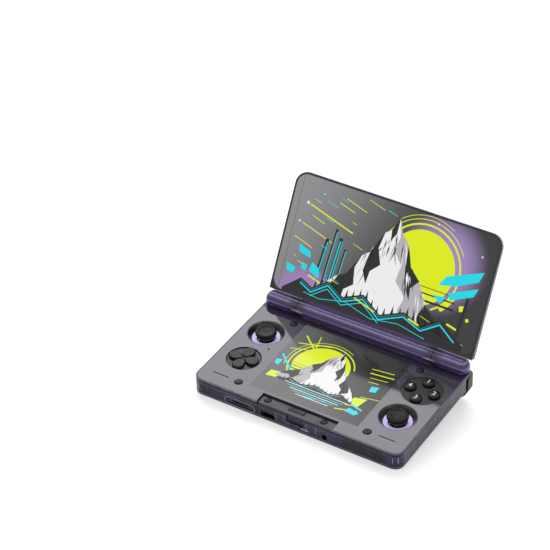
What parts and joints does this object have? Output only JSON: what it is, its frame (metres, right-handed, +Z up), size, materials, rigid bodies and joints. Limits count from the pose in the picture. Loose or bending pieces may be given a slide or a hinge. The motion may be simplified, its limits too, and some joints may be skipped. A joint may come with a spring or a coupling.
{
  "type": "clamshell handheld game console",
  "caption": "Clamshell handheld console with a screen in its lid and its deck, thumbsticks, direction pad, buttons, shoulder triggers and a friction lid hinge.",
  "frame": {"origin": "Centre of the box round the open console, at the level of its four feet.", "axes": "+X to the player's right, along the longest side; +Y away from the player, towards the hinge; +Z up. The deck leans up towards the rear on its feet."},
  "size_m": [0.1512, 0.1242, 0.1086],
  "materials": {
    "purple_shell": "translucent purple, moulded, smooth gloss",
    "lid_frost": "translucent purple, frosted from inside",
    "deck_gloss": "grey-purple cover glass, polished",
    "screen_glass": "dark grey cover glass, polished",
    "display_panel": "display panel, dark",
    "black_button": "fine-grained matt black",
    "black_rubber": "soft black rubber",
    "dark_plastic": "matt, moulded",
    "grey_silicone": "translucent grey silicone",
    "light_ring": "milky light guide, lit lilac",
    "board_green": "solder mask, satin",
    "battery_wrap": "matt wrap",
    "copper": "rolled copper sheet",
    "steel": "turned steel",
    "black_steel": "black oxide",
    "shield_metal": "stamped sheet",
    "flex_orange": "polyimide ribbon"
  },
  "bodies": {
    "base": {"base_frame": "purple_shell", "bottom_cover": "purple_shell", "deck_faceplate": "deck_gloss", "lower_display": "display_panel", "main_board": "board_green", "strip_board": "board_green", "port_board": "board_green", "battery": "battery_wrap", "heat_spreader": "copper", "speakers": "dark_plastic", "usb_port": "steel", "headphone_jack": "dark_plastic", "card_slot": "dark_plastic", "indicator_window": "light_ring", "stick_housing_left": "dark_plastic", "stick_housing_right": "dark_plastic", "stick_bezel_left": "dark_plastic", "stick_bezel_right": "dark_plastic", "light_ring_left": "light_ring", "light_ring_right": "light_ring", "face_button_plate": "deck_gloss", "button_membranes": "grey_silicone", "trigger_pins": "steel", "trigger_springs": "steel", "hinge_knuckle_left": "purple_shell", "hinge_knuckle_right": "purple_shell", "hinge_cartridges": "steel", "rubber_feet": "black_rubber", "case_screws": "black_steel"},
    "lid": {"lid_back_shell": "lid_frost", "lid_glass": "screen_glass", "upper_display": "display_panel", "lid_shield": "shield_metal", "hinge_shafts": "steel", "display_cable": "flex_orange"},
    "dpad_gimbal": {"dpad_pivot": "steel"},
    "dpad": {"dpad": "black_button"},
    "stick_yoke_left": {"stick_yoke_left": "dark_plastic"},
    "stick_pivot_left": {"stick_pivot_left": "steel"},
    "thumbstick_left": {"thumbstick_left": "black_rubber"},
    "stick_yoke_right": {"stick_yoke_right": "dark_plastic"},
    "stick_pivot_right": {"stick_pivot_right": "steel"},
    "thumbstick_right": {"thumbstick_right": "black_rubber"},
    "face_button_top": {"face_button_top": "black_button"},
    "face_button_right": {"face_button_right": "black_button"},
    "face_button_bottom": {"face_button_bottom": "black_button"},
    "face_button_left": {"face_button_left": "black_button"},
    "small_button_rear_left": {"small_button_rear_left": "black_button"},
    "small_button_rear_right": {"small_button_rear_right": "black_button"},
    "small_button_front_left": {"small_button_front_left": "black_button"},
    "small_button_front_right": {"small_button_front_right": "black_button"},
    "power_button": {"power_button": "black_button"},
    "function_button": {"function_button": "black_button"},
    "volume_rocker": {"volume_rocker": "black_button"},
    "shoulder_button_left": {"shoulder_button_left": "black_button"},
    "trigger_left": {"trigger_left": "black_button"},
    "shoulder_button_right": {"shoulder_button_right": "black_button"},
    "trigger_right": {"trigger_right": "black_button"}
  },
  "joints": [
    {"name": "lid_hinge", "type": "hinge", "parent": "base", "child": "lid", "pos_m": [0, 0.02639, 0.02774], "axis": [-1, 0, 0], "range_deg": [-119.5, 60.5]},
    {"name": "stick_tilt_back_left", "type": "hinge", "parent": "base", "child": "stick_yoke_left", "pos_m": [-0.0574, -0.00168, 0.01444], "axis": [1, 0, 0], "range_deg": [-14, 14], "stiffness_Nm_per_rad": 0.03},
    {"name": "stick_tilt_side_left", "type": "hinge", "parent": "stick_yoke_left", "child": "stick_pivot_left", "pos_m": [-0.0574, -0.00168, 0.01444], "axis": [0, 0.9909, 0.1347], "range_deg": [-14, 14], "stiffness_Nm_per_rad": 0.03},
    {"name": "stick_press_left", "type": "slide", "parent": "stick_pivot_left", "child": "thumbstick_left", "axis": [0, -0.1347, 0.9909], "range_m": [-0.0004, 0], "stiffness_N_per_m": 2500},
    {"name": "stick_tilt_back_right", "type": "hinge", "parent": "base", "child": "stick_yoke_right", "pos_m": [0.0561, -0.03011, 0.01057], "axis": [1, 0, 0], "range_deg": [-14, 14], "stiffness_Nm_per_rad": 0.03},
    {"name": "stick_tilt_side_right", "type": "hinge", "parent": "stick_yoke_right", "child": "stick_pivot_right", "pos_m": [0.0561, -0.03011, 0.01057], "axis": [0, 0.9909, 0.1347], "range_deg": [-14, 14], "stiffness_Nm_per_rad": 0.03},
    {"name": "stick_press_right", "type": "slide", "parent": "stick_pivot_right", "child": "thumbstick_right", "axis": [0, -0.1347, 0.9909], "range_m": [-0.0004, 0], "stiffness_N_per_m": 2500},
    {"name": "dpad_rock_back", "type": "hinge", "parent": "base", "child": "dpad_gimbal", "pos_m": [-0.0561, -0.03038, 0.01255], "axis": [1, 0, 0], "range_deg": [-4.5, 4.5], "stiffness_Nm_per_rad": 0.1},
    {"name": "dpad_rock_side", "type": "hinge", "parent": "dpad_gimbal", "child": "dpad", "pos_m": [-0.0561, -0.03038, 0.01255], "axis": [0, 0.9909, 0.1347], "range_deg": [-4.5, 4.5], "stiffness_Nm_per_rad": 0.1},
    {"name": "face_button_top_press", "type": "slide", "parent": "base", "child": "face_button_top", "axis": [0, -0.1347, 0.9909], "range_m": [-0.0008, 0], "stiffness_N_per_m": 600},
    {"name": "face_button_right_press", "type": "slide", "parent": "base", "child": "face_button_right", "axis": [0, -0.1347, 0.9909], "range_m": [-0.0008, 0], "stiffness_N_per_m": 600},
    {"name": "face_button_bottom_press", "type": "slide", "parent": "base", "child": "face_button_bottom", "axis": [0, -0.1347, 0.9909], "range_m": [-0.0008, 0], "stiffness_N_per_m": 600},
    {"name": "face_button_left_press", "type": "slide", "parent": "base", "child": "face_button_left", "axis": [0, -0.1347, 0.9909], "range_m": [-0.0008, 0], "stiffness_N_per_m": 600},
    {"name": "small_button_rear_left_press", "type": "slide", "parent": "base", "child": "small_button_rear_left", "axis": [0, -0.1347, 0.9909], "range_m": [-0.0004, 0], "stiffness_N_per_m": 2000},
    {"name": "small_button_rear_right_press", "type": "slide", "parent": "base", "child": "small_button_rear_right", "axis": [0, -0.1347, 0.9909], "range_m": [-0.0004, 0], "stiffness_N_per_m": 2000},
    {"name": "small_button_front_left_press", "type": "slide", "parent": "base", "child": "small_button_front_left", "axis": [0, -0.1347, 0.9909], "range_m": [-0.0004, 0], "stiffness_N_per_m": 2000},
    {"name": "small_button_front_right_press", "type": "slide", "parent": "base", "child": "small_button_front_right", "axis": [0, -0.1347, 0.9909], "range_m": [-0.0004, 0], "stiffness_N_per_m": 2000},
    {"name": "power_button_press", "type": "slide", "parent": "base", "child": "power_button", "axis": [0, -0.1347, 0.9909], "range_m": [-0.0003, 0], "stiffness_N_per_m": 2500},
    {"name": "function_button_press", "type": "slide", "parent": "base", "child": "function_button", "axis": [0, -0.1347, 0.9909], "range_m": [-0.0003, 0], "stiffness_N_per_m": 2500},
    {"name": "volume_rock", "type": "hinge", "parent": "base", "child": "volume_rocker", "pos_m": [-0.0008, -0.05547, 0.01], "axis": [0, 0.9909, 0.1347], "range_deg": [-3, 3], "stiffness_Nm_per_rad": 0.1},
    {"name": "shoulder_press_left", "type": "hinge", "parent": "base", "child": "shoulder_button_left", "pos_m": [-0.0506, 0.03148, 0.01996], "axis": [0, 0.1347, -0.9909], "range_deg": [-2.3, 0], "stiffness_Nm_per_rad": 0.45},
    {"name": "trigger_pull_left", "type": "hinge", "parent": "base", "child": "trigger_left", "pos_m": [-0.0627, 0.0309, 0.00938], "axis": [1, 0, 0], "range_deg": [-10, 0], "stiffness_Nm_per_rad": 0.04},
    {"name": "shoulder_press_right", "type": "hinge", "parent": "base", "child": "shoulder_button_right", "pos_m": [0.0506, 0.03148, 0.01996], "axis": [0, -0.1347, 0.9909], "range_deg": [-2.3, 0], "stiffness_Nm_per_rad": 0.45},
    {"name": "trigger_pull_right", "type": "hinge", "parent": "base", "child": "trigger_right", "pos_m": [0.0627, 0.0309, 0.00938], "axis": [1, 0, 0], "range_deg": [-10, 0], "stiffness_Nm_per_rad": 0.04}
  ]
}
